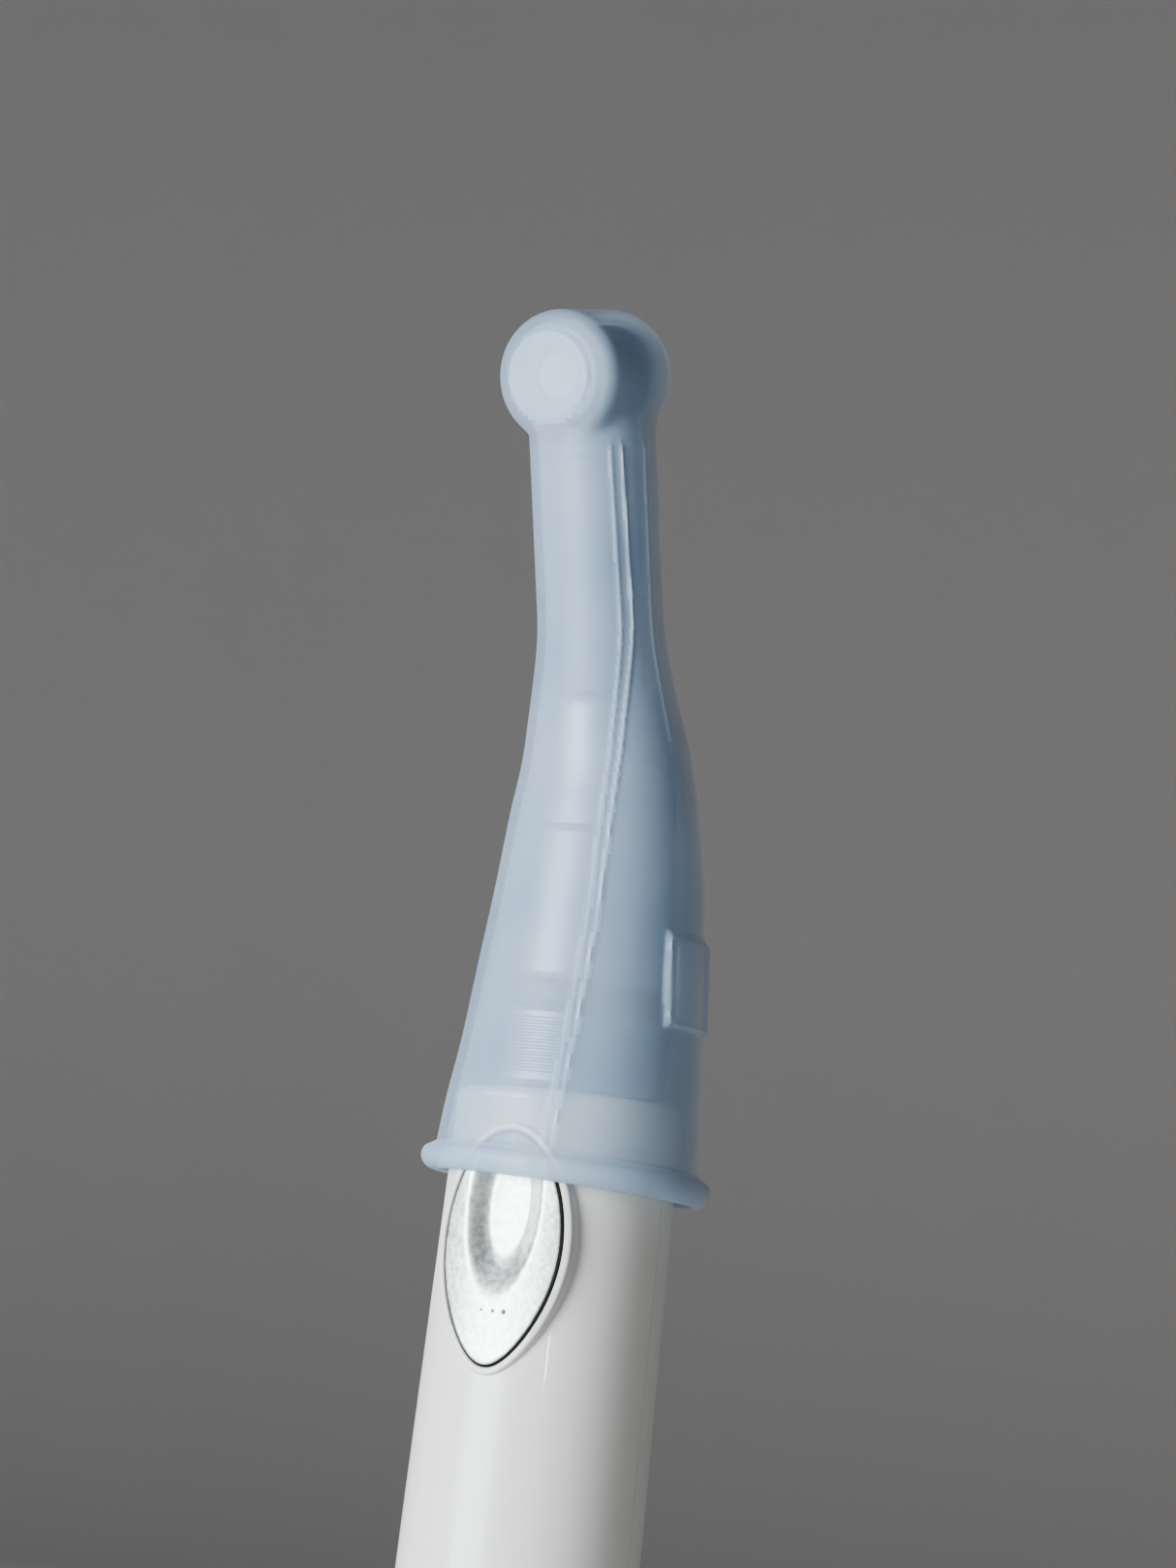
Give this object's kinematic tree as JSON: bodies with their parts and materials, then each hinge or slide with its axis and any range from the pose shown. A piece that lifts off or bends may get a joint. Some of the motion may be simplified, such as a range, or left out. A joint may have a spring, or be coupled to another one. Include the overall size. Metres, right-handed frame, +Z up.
{
  "type": "prophy angle",
  "caption": "Bent contra-angle in a translucent silicone sleeve on a white cordless motor handle with an almond-shaped thumb key.",
  "frame": {"origin": "middle of the flat end cap that the handle stands on", "axes": "+Z up along the handle to the head, the thumb key faces -Y and the button side of the head faces -Y, turned 9 degrees to -X"},
  "size_m": [0.0259, 0.0302, 0.2011],
  "materials": {
    "white_plastic": "glossy warm white",
    "satin_silver": "bead-blasted satin silver",
    "satin_chrome": "satin chrome",
    "steel": "ground steel",
    "bearing_steel": "polished bearing steel",
    "copper": "enamelled copper winding",
    "gold": "gold plated",
    "dark_rubber": "matte black rubber",
    "grey_plastic": "matte dark grey",
    "black_plastic": "matte black",
    "cell_wrap": "blue shrink sleeve",
    "board": "green solder mask",
    "lamp": "white lamp body",
    "smoked_lens": "smoked clear plastic",
    "ring_brown": "soft brown coding ring",
    "silicone": "milky translucent silicone"
  },
  "bodies": {
    "handle": {"handle_front_shell": "white_plastic", "handle_rear_shell": "white_plastic", "end_cap": "white_plastic", "cap_seal": "dark_rubber", "charge_contact_left": "gold", "charge_contact_right": "gold", "cap_screw_left": "steel", "cap_screw_right": "steel", "cell_cradle": "grey_plastic", "battery_cell": "cell_wrap", "battery_spring": "steel", "cell_bottom_contact": "gold", "cell_top_contact": "gold", "circuit_board": "board", "control_chip": "black_plastic", "key_switch": "black_plastic", "status_lamp": "lamp", "status_lens": "smoked_lens", "motor_can": "steel", "motor_stator": "copper", "motor_bearing_front": "bearing_steel", "motor_bearing_rear": "bearing_steel", "motor_end_bell": "grey_plastic", "motor_nose": "steel", "nose_o_ring": "dark_rubber"},
    "key": {"main_key": "satin_silver"},
    "rotor": {"motor_rotor": "steel"},
    "angle": {"rear_collar": "satin_chrome", "colour_ring": "ring_brown", "body_sleeve": "satin_chrome", "bend_housing": "satin_chrome", "neck_tube": "satin_chrome", "head_shell": "satin_chrome", "head_cap": "satin_chrome", "rear_shaft_bearing": "bearing_steel", "neck_bearing_low": "bearing_steel", "neck_bearing_top": "bearing_steel", "chuck_bearing_button_side": "bearing_steel", "chuck_bearing_bur_side": "bearing_steel", "button_spring": "steel", "silicone_sleeve": "silicone"},
    "rear_drive_shaft": {"rear_shaft": "steel"},
    "front_drive_shaft": {"front_shaft": "steel"},
    "chuck": {"chuck_spindle": "steel"},
    "button": {"push_button": "satin_chrome"}
  },
  "joints": [
    {"name": "key_press", "type": "slide", "parent": "handle", "child": "key", "axis": [0, 1, 0], "range_m": [0, 0.0005], "stiffness_N_per_m": 3000, "springref_m": -0.0003},
    {"name": "rotor_spin", "type": "hinge", "parent": "handle", "child": "rotor", "pos_m": [0, 0, 0.13], "axis": [0, 0, 1], "continuous": true},
    {"name": "angle_pull_off", "type": "slide", "parent": "handle", "child": "angle", "axis": [0, 0, 1], "range_m": [0, 0.014]},
    {"name": "rear_shaft_spin", "type": "hinge", "parent": "angle", "child": "rear_drive_shaft", "pos_m": [0, 0, 0.14], "axis": [0, 0, 1], "continuous": true},
    {"name": "front_shaft_spin", "type": "hinge", "parent": "angle", "child": "front_drive_shaft", "pos_m": [0, 0, 0.1594], "axis": [-0.0405, -0.2556, 0.9659], "continuous": true},
    {"name": "chuck_spin", "type": "hinge", "parent": "angle", "child": "chuck", "pos_m": [-0.00148, -0.00933, 0.19466], "axis": [0.1515, 0.9562, 0.2504], "continuous": true},
    {"name": "button_press", "type": "slide", "parent": "angle", "child": "button", "axis": [0.1515, 0.9562, 0.2504], "range_m": [0, 0.00035], "stiffness_N_per_m": 2000, "springref_m": -0.0003, "deforming": ["button_spring"]}
  ],
  "couplings": [
    {"joint": "rear_shaft_spin", "follows": "rotor_spin", "ratio": 1},
    {"joint": "front_shaft_spin", "follows": "rotor_spin", "ratio": -1},
    {"joint": "chuck_spin", "follows": "rotor_spin", "ratio": 0.71429}
  ]
}
